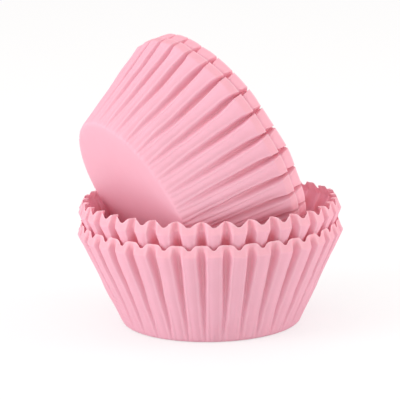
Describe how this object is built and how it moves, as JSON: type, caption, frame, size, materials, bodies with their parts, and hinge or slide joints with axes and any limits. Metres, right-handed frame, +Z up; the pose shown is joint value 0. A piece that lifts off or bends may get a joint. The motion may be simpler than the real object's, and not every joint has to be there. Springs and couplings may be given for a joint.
{
  "type": "stack of paper cupcake liners",
  "caption": "Pleated paper cupcake liners: a nested pair stands upright and a second nested pair lies tipped in its mouth, rims open to hold batter.",
  "frame": {"origin": "middle of the flat base of the lowest liner, on the surface that it stands on", "axes": "+Z up; the front of the stack, as it is pictured, faces -Y; +X to the right of the front"},
  "size_m": [0.0756, 0.0754, 0.0825],
  "materials": {
    "paper": "matte, thin, slightly translucent greaseproof paper"
  },
  "bodies": {
    "root": {"lower_outer_liner": "paper", "lower_inner_liner": "paper", "tilted_outer_liner": "paper", "tilted_inner_liner": "paper"}
  },
  "joints": []
}
